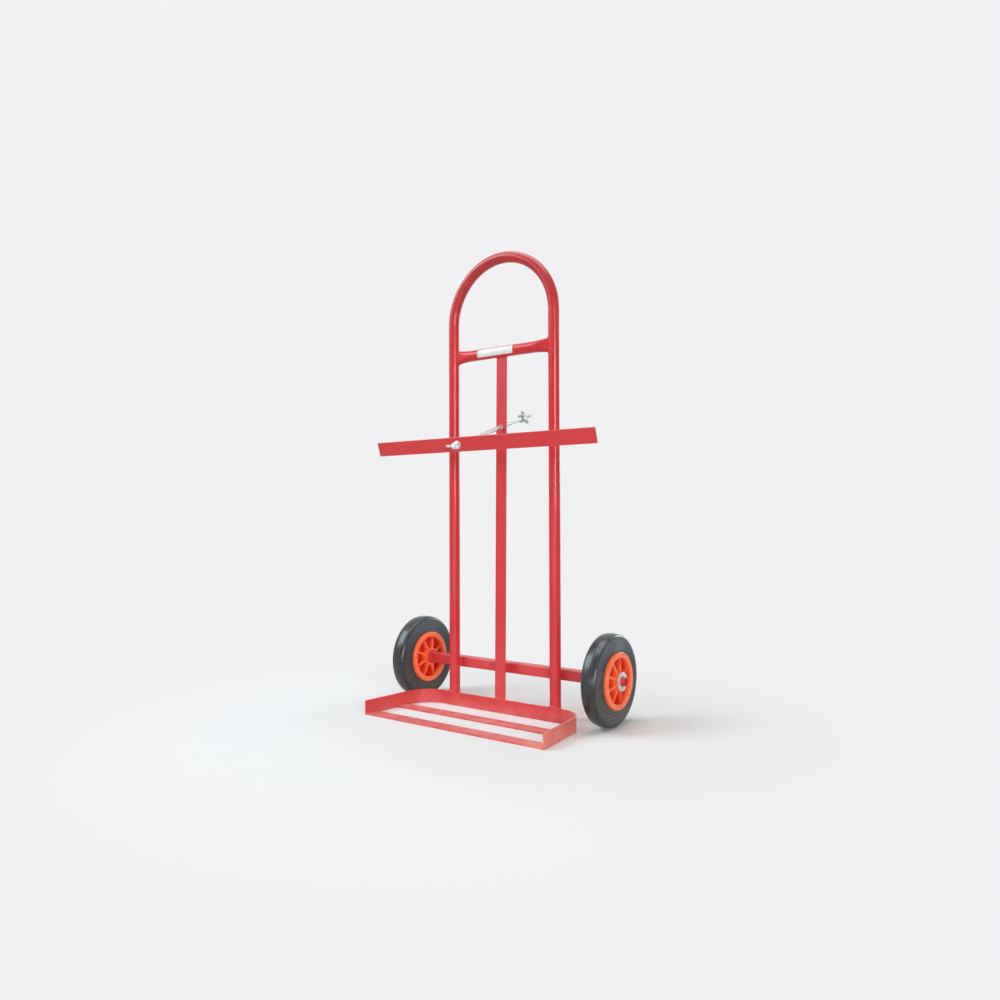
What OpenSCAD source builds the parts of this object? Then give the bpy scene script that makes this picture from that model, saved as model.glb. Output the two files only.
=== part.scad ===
// Gas cylinder trolley for two upright cylinders
// A bent tube hoop on a low flat-bar tray, two wheels on one axle behind it, and a loose clamp bar on a
// sliding rod. Origin: on the floor, under the centre of the middle bar of the tray. +X to the right as
// seen from the front, +Y to the back, +Z up. All sizes in millimetres, angles in degrees.

/* [Hoop] */
// Height over the top of the handle
hoop_h = 1340; // [1200:5:1500]
// Distance between the centre lines of the uprights
hoop_span = 358; // [320:2:400]
// Outside diameter of the hoop tube
tube_d = 32; // [28:1:36]
// Wall of the hoop tube
tube_wall = 2; // [1.5:0.1:3]
// Height of the open tube ends above the floor
foot_clear = 4; // [2:0.5:10]

/* [Cross tube and strut] */
// Height of the cross tube's centre line
cross_z = 1048; // [950:2:1100]
// Outside diameter of the cross tube
cross_d = 32; // [24:1:32]
// Wall of the cross tube
cross_wall = 2; // [1.5:0.1:3]
// Thickness of the cross tube's flattened ends
flat_t = 14.5; // [10:0.5:20]
// Length over which each end of the cross tube is flattened
flat_len = 62; // [40:2:80]
// Width of the strut's flat bar
strut_w = 35; // [30:1:50]
// Thickness of the strut's flat bar
strut_t = 5; // [4:0.5:8]

/* [Tray] */
// Width over the sides of the rim at its open front
tray_w = 610; // [580:2:620]
// Angle by which each side of the rim closes in towards the back
tray_splay = 5.5; // [3:0.5:8]
// Depth from the front edge to the back of the rim
tray_depth = 238; // [220:2:280]
// Height of the rim's flat bar, which stands on edge
rim_h = 40; // [30:1:60]
// Thickness of the rim's flat bar
rim_t = 5; // [4:0.5:6]
// Outside radius of the rim's bent back corners
bend_r = 78; // [60:2:100]
// Width of the two floor bars
bar_w = 40; // [30:1:60]
// Thickness of the two floor bars
bar_t = 5; // [4:0.5:8]
// Distance from the front edge to the centre of the middle bar
bar_setback = 136; // [110:2:150]

/* [Axle] */
// Side of the square beam tube
beam_size = 30; // [30:1:40]
// Wall of the beam tube
beam_wall = 2; // [1.5:0.1:2.4]
// Outside corner radius of the beam tube
beam_corner = 3; // [2.5:0.5:4]
// Length of the beam over its end caps
beam_len = 584; // [540:2:600]
// Thickness of a beam end cap
cap_t = 4; // [3:0.5:8]
// Diameter of the axle
axle_d = 25; // [20:0.5:25]
// Wall of the axle tube
axle_wall = 3; // [2:0.5:5]
// Length of axle past the outer washer
axle_tail = 10; // [8:0.5:25]
// Outside diameter of the inner washer
inner_washer_d = 44; // [36:0.5:50]
// Thickness of the inner washer
inner_washer_t = 4; // [2:0.5:8]
// Outside diameter of the outer washer
outer_washer_d = 50; // [40:1:56]
// Thickness of the outer washer
outer_washer_t = 3; // [2:0.5:6]
// End play of a hub, on each side
hub_play = 0.5; // [0.3:0.1:1]
// Diameter of a split pin
pin_d = 4; // [3:0.5:5]
// Diameter of a split pin's eye, at the middle of its wire
pin_eye_d = 7; // [6:0.5:9]
// Length of a split pin's bent leg
pin_leg = 12; // [8:0.5:16]
// Angle of a bent leg from the line of the pin
pin_spread = 28; // [10:1:50]

/* [Wheels] */
// Tyre outside diameter
wheel_d = 250; // [230:2:280]
// Width of the tyre
tyre_w = 46; // [42:1:54]
// Width of the tread, a band on top of the tyre's shoulders
tread_w = 34; // [28:1:38]
// Crown radius across the tread
crown_r = 70; // [50:1:100]
// Step from the edge of the tread down to the shoulder
tread_step = 0.8; // [0.4:0.1:1.5]
// Radius of the tyre's shoulders
shoulder_r = 8; // [6:0.5:10]
// Diameter of the wheel centre's lip
lip_d = 154; // [146:1:160]
// Radial width of the lip
lip_w = 15; // [12:0.5:16]
// Depth of the tyre seat below the lip
seat_drop = 6; // [4:0.5:7]
// Width of the wheel centre over its lips
centre_w = 64; // [62:1:68]
// Axial thickness of a lip
lip_t = 9; // [7:0.5:10]
// Rounding of the lip's edges
lip_round = 3; // [1:0.5:4]
// Thickness of the web
web_t = 6; // [4:0.5:10]
// Number of ribs on each face of the web
rib_count = 8; // [6:1:12]
// Thickness of a rib
rib_t = 6; // [3:0.5:8]
// Turn of the rib pattern
rib_phase = 24; // [0:1:60]
// Diameter of the hub boss
hub_d = 52; // [46:1:60]
// Length of the hub boss
hub_len = 71; // [66:1:80]
// Outside diameter of the hub bush
bush_d = 34; // [31:0.5:40]
// Grooves on each half of the tread
groove_count = 2; // [1:1:3]
// Distance between tread grooves
groove_pitch = 8; // [6:0.5:9]
// Width of a tread groove
groove_w = 1.2; // [1:0.1:3]
// Depth of a tread groove
groove_depth = 1; // [0.8:0.1:3]
// Raised rings on each sidewall
ring_count = 4; // [2:1:5]
// Radius of a raised ring's section
ring_r = 1; // [0.6:0.1:1.6]

/* [Clamp] */
// Diameter of the rod
rod_d = 12; // [10:0.5:14]
// Length of the rod
rod_len = 400; // [380:5:460]
// Droop of the rod's front end
rod_droop = 18; // [10:1:20]
// Height of the rod where it passes the strut
rod_z = 828; // [700:2:900]
// Length of rod in front of the strut
rod_front = 238; // [234:1:260]
// Distance along the rod from the strut to the clamp bar
clamp_reach = 212; // [200:1:214]
// Length of the clamp bar
clamp_len = 720; // [600:5:740]
// Length of the clamp bar on the left of the rod
clamp_left = 295; // [280:5:320]
// Width of the clamp bar
clamp_w = 40; // [30:1:50]
// Thickness of the clamp bar
clamp_t = 5; // [4:0.5:6]
// Distance along the rod from the strut to the rear wing nut
rear_nut_at = 108; // [106:1:130]

/* [Fasteners] */
// Span over a wing nut's wings
wing_span = 42; // [38:1:56]
// Height over a wing nut's wings
wing_h = 25; // [23:0.5:30]
// Thickness of a wing
wing_t = 4; // [3:0.5:5]
// Radius of a wing's tip
wing_tip_r = 6; // [5:0.5:8]
// Radius of a wing's root
wing_root_r = 4.5; // [3:0.5:4.5]
// Depth of a wing's root below the top of the hub
wing_root_drop = 1; // [0.5:0.25:2]
// Diameter of a wing nut's base
wing_base_d = 23; // [21:0.5:26]
// Diameter of a wing nut's top
wing_top_d = 18; // [16.5:0.5:21]
// Height of a wing nut's hub
wing_hub_h = 13; // [10:0.5:15]
// Turn of the front wing nut about the rod
front_wing_turn = -9; // [-90:1:90]
// Turn of the rear wing nut about the rod
rear_wing_turn = -69; // [-90:1:90]
// Hexagon nut across its flats
hex_flats = 19; // [17:0.5:24]
// Height of the hexagon nut
hex_h = 10; // [8:0.5:12]
// Outside diameter of the rod washers
rod_washer_d = 24; // [20:0.5:30]
// Thickness of the rod washers
rod_washer_t = 2.5; // [1.5:0.1:4]

/* [Fits] */
// Radial clearance of a turning fit
run_fit = 0.05; // [0.02:0.01:0.1]
// Gap between faces that turn against each other
face_gap = 0.3; // [0.2:0.05:0.5]
// Gap round the drooping rod in the strut's hole
rod_play = 0.4; // [0.3:0.05:0.6]
// Radial clearance of a split pin in the axle
pin_play = 0.1; // [0.05:0.05:0.3]

/* [Hidden] */
$fn = 96;
// Overlap that keeps unions and cuts clean
eps = 1;
// Height by which the rim's bends stand proud of its straights
bend_proud = 0.01;
// Sides and rings of a lofted tube end
loft_sides = 32;
loft_rings = 6;

// Frame places
y_front = -bar_setback;
y_back = tray_depth - bar_setback;
y_hoop = y_back + tube_d / 2;
arch_r = hoop_span / 2;
arch_z = hoop_h - arch_r - tube_d / 2;

// Start of the cross tube's flattened ends
x_squeeze = arch_r - tube_d / 2 - flat_len;

// Lean of the strut, from the cross tube's axis to the back of the rim
strut_drop = cross_z - rim_h;
strut_run = norm([tube_d / 2, strut_drop]);
strut_lean = atan2(tube_d / 2, strut_drop) - asin(strut_t / 2 / strut_run);

// Axle and wheel places
y_axle = y_hoop + tube_d / 2 + beam_size / 2;
z_axle = wheel_d / 2;
x_beam = beam_len / 2;
x_hub_in = x_beam + inner_washer_t + hub_play;
x_wheel = x_hub_in + hub_len / 2;
x_washer = x_hub_in + hub_len + hub_play;
x_pin = x_washer + outer_washer_t + pin_d / 2 + face_gap;
x_axle = x_washer + outer_washer_t + axle_tail;

// Wheel section
crown_mid = wheel_d / 2 - crown_r;
shoulder_y = tyre_w / 2 - shoulder_r;
shoulder_mid = tread_rim(tread_w / 2) - tread_step - shoulder_r;
lip_r = lip_d / 2;
seat_r = lip_r - seat_drop;
well_r = lip_r - lip_w;
seat_y = centre_w / 2 - lip_t;

// Clamp places, measured along the rod, positive to the front
y_rod = y_hoop - (cross_z - rod_z) * tan(strut_lean);
rod_tilt = rod_droop + strut_lean;
strut_hole_d = rod_d / cos(rod_tilt) + strut_t * tan(rod_tilt) + 2 * rod_play;
s_bar_front = clamp_reach + clamp_t / 2;
s_bar_back = clamp_reach - clamp_t / 2;
s_front_washer = s_bar_front + face_gap;
s_front_nut = s_front_washer + rod_washer_t + face_gap;
s_lock_nut = s_bar_back - face_gap - hex_h;
s_rear_washer = -rear_nut_at + face_gap;
rod_bore_d = rod_d + 2 * run_fit;
rod_chamfer = 1;

// Colours
red = [0.80, 0.16, 0.18];
orange = [1.00, 0.36, 0.18];
rubber = [0.22, 0.25, 0.27];
zinc = [0.80, 0.82, 0.82];
nylon = [0.90, 0.89, 0.84];

// Places its children on the left (-1) or right (+1) half of the trolley
module on_side(side) {
    mirror([side < 0 ? 1 : 0, 0, 0]) children();
}

// Lays children built along +Z on the axle's line, with their base at x, pointing outwards
module on_axle(x) {
    translate([x, y_axle, z_axle]) rotate([0, 90, 0]) children();
}

// Lays children built along +Z on the rod, with their base at s, pointing to the front
module on_rod(s) {
    translate([0, y_rod, rod_z]) rotate([90 + rod_droop, 0, 0]) translate([0, 0, s]) children();
}

// Flat ring standing on its base
module ring(outer_d, inner_d, h) {
    difference() {
        cylinder(d = outer_d, h = h);
        translate([0, 0, -eps]) cylinder(d = inner_d, h = h + 2 * eps);
    }
}

// Centre line of the hoop, filled with a round section
module hoop_solid(d, bottom) {
    for (side = [-1, 1])
        translate([side * arch_r, y_hoop, bottom]) cylinder(d = d, h = arch_z - bottom);
    translate([0, y_hoop, arch_z]) rotate([90, 0, 0])
        rotate_extrude(angle = 180) translate([arch_r, 0]) circle(d = d);
}

module hoop_tube() {
    color(red) difference() {
        hoop_solid(tube_d, foot_clear);
        hoop_solid(tube_d - 2 * tube_wall, foot_clear - eps);
    }
}

// Round bar along the cross tube's axis
module cross_solid(d, reach) {
    translate([-reach, y_hoop, cross_z]) rotate([0, 90, 0]) cylinder(d = d, h = 2 * reach);
}

// Thickness of the cross tube at a share of the way into its flattened end
function squeezed_t(share) = cross_d + (flat_t - cross_d) * share * share;

// Outline of the cross tube squeezed to thickness t, less a wall: its girth stays, so it grows taller
function squeezed_ring(x, t, wall) = [
    for (i = [0 : loft_sides - 1])
        let (a = i * 360 / loft_sides, rise = sign(sin(a)) * (cross_d - t) * PI / 4)
            [x, (t / 2 - wall) * cos(a), (t / 2 - wall) * sin(a) + rise]
];

// Solid through rings of points that follow each other along +X
module loft(rings) {
    n = len(rings[0]);
    last = n * (len(rings) - 1);
    walls = [
        for (k = [0 : n : last - n], i = [0 : n - 1])
            let (j = (i + 1) % n)
                each [[k + i, k + n + i, k + j], [k + j, k + n + i, k + n + j]]
    ];
    ends = [[for (i = [0 : n - 1]) i], [for (i = [n - 1 : -1 : 0]) last + i]];
    polyhedron([for (ring = rings) each ring], concat(walls, ends));
}

// Cross tube's outside, or its bore when a wall is taken off, past the centre lines of the uprights by lead
module cross_form(wall, lead) {
    stations = concat(
        [for (i = [0 : loft_rings]) [x_squeeze + flat_len * i / loft_rings, squeezed_t(i / loft_rings)]],
        [[arch_r + lead, flat_t]]
    );
    last = len(stations) - 1;
    rings = concat(
        [for (i = [last : -1 : 0]) squeezed_ring(-stations[i][0], stations[i][1], wall)],
        [for (i = [0 : last]) squeezed_ring(stations[i][0], stations[i][1], wall)]
    );
    translate([0, y_hoop, cross_z]) loft(rings);
}

module cross_tube() {
    color(red) difference() {
        cross_form(0, 0);
        cross_form(cross_wall, eps);
        for (side = [-1, 1])
            translate([side * arch_r, y_hoop, cross_z - hoop_span]) cylinder(d = tube_d, h = 2 * hoop_span);
    }
}

module centre_strut() {
    color(red) difference() {
        translate([0, y_hoop, cross_z]) rotate([-strut_lean, 0, 0])
            translate([-strut_w / 2, -strut_t / 2, -cross_z])
                cube([strut_w, strut_t, cross_z]);
        cross_solid(cross_d, strut_w);
        translate([-strut_w, y_back - tube_d, -cross_d]) {
            cube([2 * strut_w, tube_d, cross_d + rim_h]);
            cube([2 * strut_w, 2 * tube_d, cross_d + foot_clear]);
        }
        translate([0, y_rod, rod_z]) rotate([90 - strut_lean, 0, 0])
            cylinder(d = strut_hole_d, h = 2 * strut_t, center = true);
    }
}

// Distance of the rim's right side from the middle at a given depth, less an inset square to the side
function side_at(y, inset) = tray_w / 2 - (inset + (y - y_front) * sin(tray_splay)) / cos(tray_splay);

// Plan of the tray up to a given inset from the rim's outside, open to the front by lead
module tray_plan(inset, lead) {
    r = bend_r - inset;
    flat_r = r - bend_proud;
    front = y_front - lead;
    bend = [side_at(y_back - bend_r, bend_r), y_back - bend_r];
    half = [
        [side_at(front, inset + bend_proud), front],
        bend + flat_r * [cos(tray_splay), sin(tray_splay)],
        bend + [0, flat_r]
    ];
    polygon(concat(half, [for (i = [2 : -1 : 0]) [-half[i].x, half[i].y]]));
    for (side = [-1, 1])
        translate([side * bend.x, bend.y]) circle(r);
}

module tray_rim() {
    color(red) linear_extrude(rim_h) difference() {
        tray_plan(0, 0);
        tray_plan(rim_t, eps);
    }
}

// Floor bar, its ends cut a hair short of the sides of the rim
module floor_bar(y_mid) {
    color(red) linear_extrude(bar_t) intersection() {
        tray_plan(rim_t + bend_proud, 0);
        translate([-tray_w / 2, y_mid - bar_w / 2]) square([tray_w, bar_w]);
    }
}

module tray_front_bar() {
    floor_bar(y_front + bar_w / 2);
}

module tray_middle_bar() {
    floor_bar(0);
}

// Square with rounded corners, centred
module round_square(side, r) {
    square([side, side - 2 * r], center = true);
    square([side - 2 * r, side], center = true);
    for (x = [-1, 1], y = [-1, 1])
        translate([x * (side / 2 - r), y * (side / 2 - r)]) circle(r);
}

module axle_beam() {
    inside = x_beam - cap_t;
    color(red) on_axle(-inside) linear_extrude(2 * inside) difference() {
        round_square(beam_size, beam_corner);
        round_square(beam_size - 2 * beam_wall, beam_corner - beam_wall);
    }
}

module beam_cap(side) {
    color(red) on_side(side) on_axle(x_beam - cap_t) linear_extrude(cap_t) difference() {
        round_square(beam_size, beam_corner);
        circle(d = axle_d);
    }
}

module axle_shaft() {
    color(red) difference() {
        on_axle(-x_axle) cylinder(d = axle_d, h = 2 * x_axle);
        on_axle(-x_axle - eps) cylinder(d = axle_d - 2 * axle_wall, h = 2 * (x_axle + eps));
        for (side = [-1, 1])
            translate([side * x_pin, y_axle, z_axle])
                cylinder(d = pin_d + 2 * pin_play, h = 2 * axle_d, center = true);
    }
}

module inner_washer(side) {
    color(red) on_side(side) on_axle(x_beam) ring(inner_washer_d, axle_d + 2 * run_fit, inner_washer_t);
}

module outer_washer(side) {
    color(zinc) on_side(side) on_axle(x_washer) ring(outer_washer_d, axle_d + 2 * run_fit, outer_washer_t);
}

// Split pin: an eye above the axle, a shank through it, and two legs bent apart below
module split_pin(side) {
    wire_r = pin_d / 4;
    eye_r = pin_eye_d / 2;
    shank_top = axle_d / 2 + face_gap;
    shank_bottom = -axle_d / 2 - wire_r;
    color(zinc) on_side(side) translate([x_pin, y_axle, z_axle]) {
        translate([0, 0, shank_bottom]) cylinder(d = pin_d, h = shank_top - shank_bottom);
        translate([0, 0, shank_top + eye_r]) rotate([0, 90, 0])
            rotate_extrude() translate([eye_r, 0]) circle(wire_r);
        for (turn = [-1, 1])
            translate([0, 0, shank_bottom + wire_r]) rotate([turn * pin_spread, 0, 0])
                translate([0, 0, -pin_leg]) cylinder(r = wire_r, h = pin_leg);
    }
}

// Radius of the crowned tread at a distance from its middle
function tread_rim(y) = crown_mid + sqrt(crown_r * crown_r - y * y);

// Place of tread groove i on one half of the tread
function groove_y(i) = (i + 1 / 2) * groove_pitch;

// Half section of the tyre's carcass: a seat between the lips, flat sidewalls and round shoulders
module carcass_section() {
    translate([seat_r, -seat_y]) square([lip_r - seat_r, 2 * seat_y]);
    translate([lip_r, -tyre_w / 2]) square([shoulder_mid - lip_r, tyre_w]);
    translate([lip_r, -shoulder_y]) square([shoulder_mid + shoulder_r - lip_r, 2 * shoulder_y]);
    for (face = [-1, 1])
        translate([shoulder_mid, face * shoulder_y]) circle(shoulder_r);
}

// Half section of the tyre: radius along X, width along Y
module tyre_section() {
    ring_pitch = (shoulder_mid - lip_r) / (ring_count + 1);
    carcass_section();
    difference() {
        intersection() {
            translate([crown_mid, 0]) circle(crown_r);
            translate([shoulder_mid, -tread_w / 2]) square([wheel_d, tread_w]);
        }
        for (face = [-1, 1], i = [0 : groove_count - 1])
            translate([tread_rim(groove_y(i)) - groove_depth, face * groove_y(i) - groove_w / 2])
                square([wheel_d, groove_w]);
    }
    for (face = [-1, 1], i = [1 : ring_count])
        translate([lip_r + i * ring_pitch, face * tyre_w / 2]) circle(ring_r);
}

module tyre(side) {
    color(rubber) on_side(side) on_axle(x_wheel) rotate_extrude() tyre_section();
}

// One lip of the wheel centre, with its outer edges rounded
module lip_section() {
    translate([well_r, seat_y]) square([lip_w, lip_t - lip_round]);
    translate([well_r + lip_round, seat_y]) square([lip_w - 2 * lip_round, lip_t]);
    for (x = [well_r + lip_round, lip_r - lip_round])
        translate([x, centre_w / 2 - lip_round]) circle(lip_round);
}

// Half section of the wheel centre without its ribs
module centre_section() {
    barrel_t = seat_r - well_r;
    for (face = [0, 1]) mirror([0, face]) lip_section();
    translate([well_r, -seat_y]) square([barrel_t, 2 * seat_y]);
    translate([bush_d / 2, -web_t / 2]) square([well_r - bush_d / 2 + barrel_t / 2, web_t]);
    translate([bush_d / 2, -hub_len / 2]) square([(hub_d - bush_d) / 2, hub_len]);
}

// Rib from the hub boss out to the barrel, standing on one face of the web
module rib() {
    hub_in = hub_d / 2 - rib_t / 2;
    barrel_out = (well_r + seat_r) / 2;
    hub_y = centre_w / 2 - lip_round;
    rotate([90, 0, 0]) translate([0, 0, -rib_t / 2]) linear_extrude(rib_t)
        polygon([[hub_in, 0], [barrel_out, 0], [barrel_out, seat_y - lip_round], [hub_in, hub_y]]);
}

module wheel_centre(side) {
    color(orange) on_side(side) on_axle(x_wheel) {
        rotate_extrude() centre_section();
        for (face = [0, 1], i = [0 : rib_count - 1])
            rotate([0, 0, rib_phase + i * 360 / rib_count]) mirror([0, 0, face]) rib();
    }
}

module hub_bush(side) {
    color(nylon) on_side(side) on_axle(x_hub_in) ring(bush_d, axle_d + 2 * run_fit, hub_len);
}

module clamp_rod() {
    shank = rod_len - 2 * rod_chamfer;
    tip_d = rod_d - 2 * rod_chamfer;
    color(zinc) on_rod(rod_front - rod_len) {
        cylinder(d1 = tip_d, d2 = rod_d, h = rod_chamfer);
        translate([0, 0, rod_chamfer]) cylinder(d = rod_d, h = shank);
        translate([0, 0, rod_chamfer + shank]) cylinder(d1 = rod_d, d2 = tip_d, h = rod_chamfer);
    }
}

module clamp_bar() {
    color(red) on_rod(s_bar_back) difference() {
        translate([-clamp_left, -clamp_w / 2, 0]) cube([clamp_len, clamp_w, clamp_t]);
        translate([0, 0, -eps]) cylinder(d = rod_bore_d, h = clamp_t + 2 * eps);
    }
}

module lock_nut() {
    color(zinc) on_rod(s_lock_nut) difference() {
        cylinder(d = hex_flats / cos(180 / 6), h = hex_h, $fn = 6);
        translate([0, 0, -eps]) cylinder(d = rod_d, h = hex_h + 2 * eps);
    }
}

module rod_washer(s) {
    color(zinc) on_rod(s) ring(rod_washer_d, rod_d, rod_washer_t);
}

module front_washer() {
    rod_washer(s_front_washer);
}

module rear_washer() {
    rod_washer(s_rear_washer);
}

// Two circles and the band between their common tangents
module taper_link(p1, r1, p2, r2) {
    d = p2 - p1;
    aim = atan2(d.y, d.x);
    fan = acos((r1 - r2) / norm(d));
    translate(p1) circle(r1);
    translate(p2) circle(r2);
    polygon([
        p1 + r1 * [cos(aim + fan), sin(aim + fan)],
        p2 + r2 * [cos(aim + fan), sin(aim + fan)],
        p2 + r2 * [cos(aim - fan), sin(aim - fan)],
        p1 + r1 * [cos(aim - fan), sin(aim - fan)]
    ]);
}

// Wing nut standing on its base, wings up, turned about its own axis
module wing_nut(turn) {
    root = [wing_top_d / 2 - wing_root_r, wing_hub_h - wing_root_r - wing_root_drop];
    tip = [wing_span / 2 - wing_tip_r, wing_h - wing_tip_r];
    color(zinc) rotate([0, 0, turn]) difference() {
        union() {
            cylinder(d1 = wing_base_d, d2 = wing_top_d, h = wing_hub_h);
            for (half = [0, 180])
                rotate([90, 0, half]) translate([0, 0, -wing_t / 2]) linear_extrude(wing_t)
                    taper_link(root, wing_root_r, tip, wing_tip_r);
        }
        translate([0, 0, -eps]) cylinder(d = rod_bore_d, h = wing_h + 2 * eps);
    }
}

module front_wing_nut() {
    on_rod(s_front_nut) wing_nut(front_wing_turn);
}

module rear_wing_nut() {
    on_rod(-rear_nut_at) mirror([0, 0, 1]) wing_nut(rear_wing_turn);
}

hoop_tube();
cross_tube();
centre_strut();
tray_rim();
tray_front_bar();
tray_middle_bar();
axle_beam();
beam_cap(-1);  // beam_cap_left
beam_cap(1);  // beam_cap_right
axle_shaft();
inner_washer(-1);  // inner_washer_left
inner_washer(1);  // inner_washer_right
outer_washer(-1);  // outer_washer_left
outer_washer(1);  // outer_washer_right
split_pin(-1);  // split_pin_left
split_pin(1);  // split_pin_right
tyre(-1);  // tyre_left
tyre(1);  // tyre_right
wheel_centre(-1);  // wheel_centre_left
wheel_centre(1);  // wheel_centre_right
hub_bush(-1);  // hub_bush_left
hub_bush(1);  // hub_bush_right
clamp_rod();
clamp_bar();
lock_nut();
front_washer();
front_wing_nut();
rear_washer();
rear_wing_nut();
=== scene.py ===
"""Looks of a gas cylinder trolley: painted steel, zinc, rubber and moulded plastic.

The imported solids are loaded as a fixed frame. Each sub-assembly is a class that dresses its own nodes and
adds what the solids leave out: weld beads, rolled threads and a blank label.
Lengths are metres in the trolley's own frame: +X right as seen from the front, +Y back, +Z up.
"""

from __future__ import annotations

import logging
import math
import random
from dataclasses import dataclass
from enum import Enum
from typing import Any, Sequence

import bmesh
import bpy
from mathutils import Matrix, Quaternion, Vector

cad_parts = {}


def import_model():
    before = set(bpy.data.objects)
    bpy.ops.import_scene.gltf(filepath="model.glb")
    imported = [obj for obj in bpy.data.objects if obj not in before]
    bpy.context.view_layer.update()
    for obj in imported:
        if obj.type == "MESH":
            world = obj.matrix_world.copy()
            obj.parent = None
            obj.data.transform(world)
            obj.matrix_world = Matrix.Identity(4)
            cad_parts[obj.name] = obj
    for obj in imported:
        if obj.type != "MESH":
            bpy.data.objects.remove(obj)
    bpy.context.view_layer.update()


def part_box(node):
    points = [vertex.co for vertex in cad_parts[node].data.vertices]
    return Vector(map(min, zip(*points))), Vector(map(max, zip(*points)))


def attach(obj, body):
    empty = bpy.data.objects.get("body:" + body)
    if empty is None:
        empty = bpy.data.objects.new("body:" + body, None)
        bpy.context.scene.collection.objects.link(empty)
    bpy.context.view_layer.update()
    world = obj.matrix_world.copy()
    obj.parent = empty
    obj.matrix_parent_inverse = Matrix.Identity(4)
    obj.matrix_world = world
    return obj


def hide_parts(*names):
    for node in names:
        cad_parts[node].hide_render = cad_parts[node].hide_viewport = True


LOG = logging.getLogger("trolley")
MM = 0.001
# Edges that turn by more than this count as sharp.
SHARP = math.radians(35.0)
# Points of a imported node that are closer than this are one.
SAME_POINT = 1e-6
# Faces across a rounded edge.
ROUND_FACES = 2
# How far large faces win over small ones in shading, of 100.
FACE_WEIGHT = 80
# Range of the mottle over which a finish goes from rough to smooth.
MOTTLE_SPAN = (0.75, 1.25)

Colour = tuple[float, float, float]
Pair = tuple[float, float]
Place = tuple[float, float, float]
Material = bpy.types.Material
Node = bpy.types.Node
Object = bpy.types.Object
Socket = bpy.types.NodeSocket


class Body(str, Enum):
    """Bodies that new pieces ride on."""

    FRAME = "frame"
    CLAMP_ROD = "clamp_rod"


class Slot(str, Enum):
    """Material slots of the record."""

    RED_PAINT = "red_paint"
    ZINC = "zinc"
    TYRE_RUBBER = "tyre_rubber"
    ORANGE_PLASTIC = "orange_plastic"
    NYLON = "nylon"


class Effect(Enum):
    """Effects that more than one finish uses, each a shader node group."""

    MOTTLE = "mottle"
    GRAIN = "grain"
    EDGE_WEAR = "edge_wear"
    CREVICE = "crevice"
    DUST = "dust"


class Side(Enum):
    """Left or right half of the trolley, as the sign of X."""

    LEFT = -1
    RIGHT = 1

    @property
    def word(self) -> str:
        """Name of the side as node names spell it."""
        return self.name.lower()


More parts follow.
